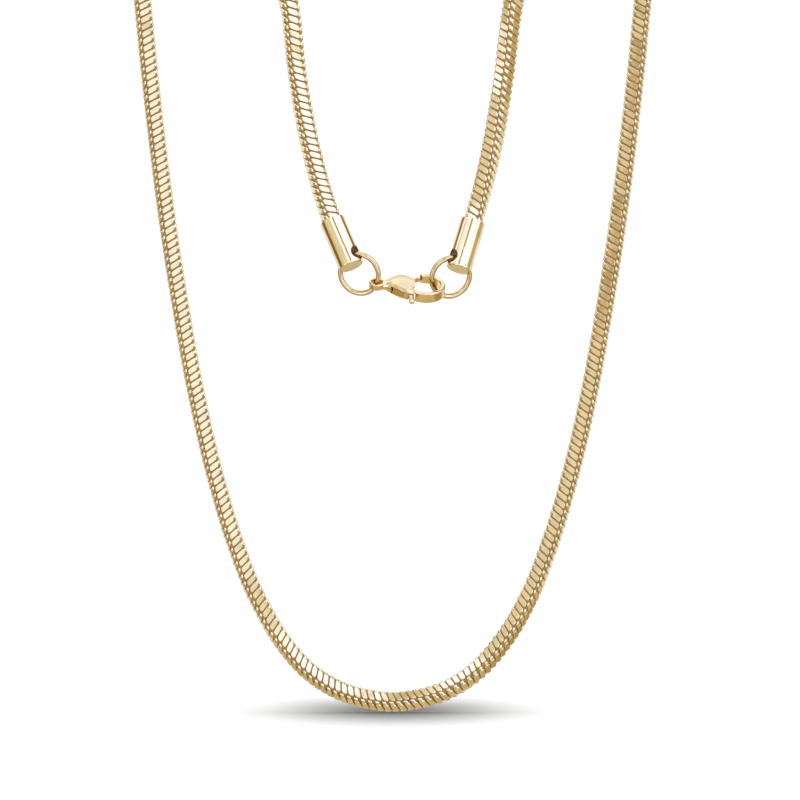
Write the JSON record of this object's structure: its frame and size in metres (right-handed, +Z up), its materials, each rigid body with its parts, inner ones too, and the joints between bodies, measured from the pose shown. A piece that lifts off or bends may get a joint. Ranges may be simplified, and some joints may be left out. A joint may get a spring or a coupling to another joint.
{
  "type": "snake chain necklace with lobster clasp",
  "caption": "Squarish snake chain necklace as a whole closed loop, hung as on a neck, with tube end caps, jump rings and a lobster clasp at its back.",
  "frame": {"origin": "middle of the wearer's neck, at the height where the chain goes over its sides", "axes": "+Z up, +Y to the front of the wearer, +X to the right in the picture, which looks along +Y"},
  "size_m": [0.0905, 0.0723, 0.1477],
  "materials": {
    "gold": "polished gold-coloured plating"
  },
  "bodies": {
    "necklace": {"snake_chain": "gold", "end_cap_left": "gold", "end_cap_right": "gold", "jump_ring_left": "gold", "jump_ring_right": "gold", "clasp_body": "gold", "clasp_pin": "gold"},
    "lever": {"clasp_lever": "gold"}
  },
  "joints": [
    {"name": "lever_hinge", "type": "hinge", "parent": "necklace", "child": "lever", "pos_m": [0.00213, -0.03265, -0.07212], "axis": [-0.0643, 0.5446, -0.8362], "range_deg": [0, 25], "stiffness_Nm_per_rad": 0.005, "springref_deg": -20.05}
  ]
}
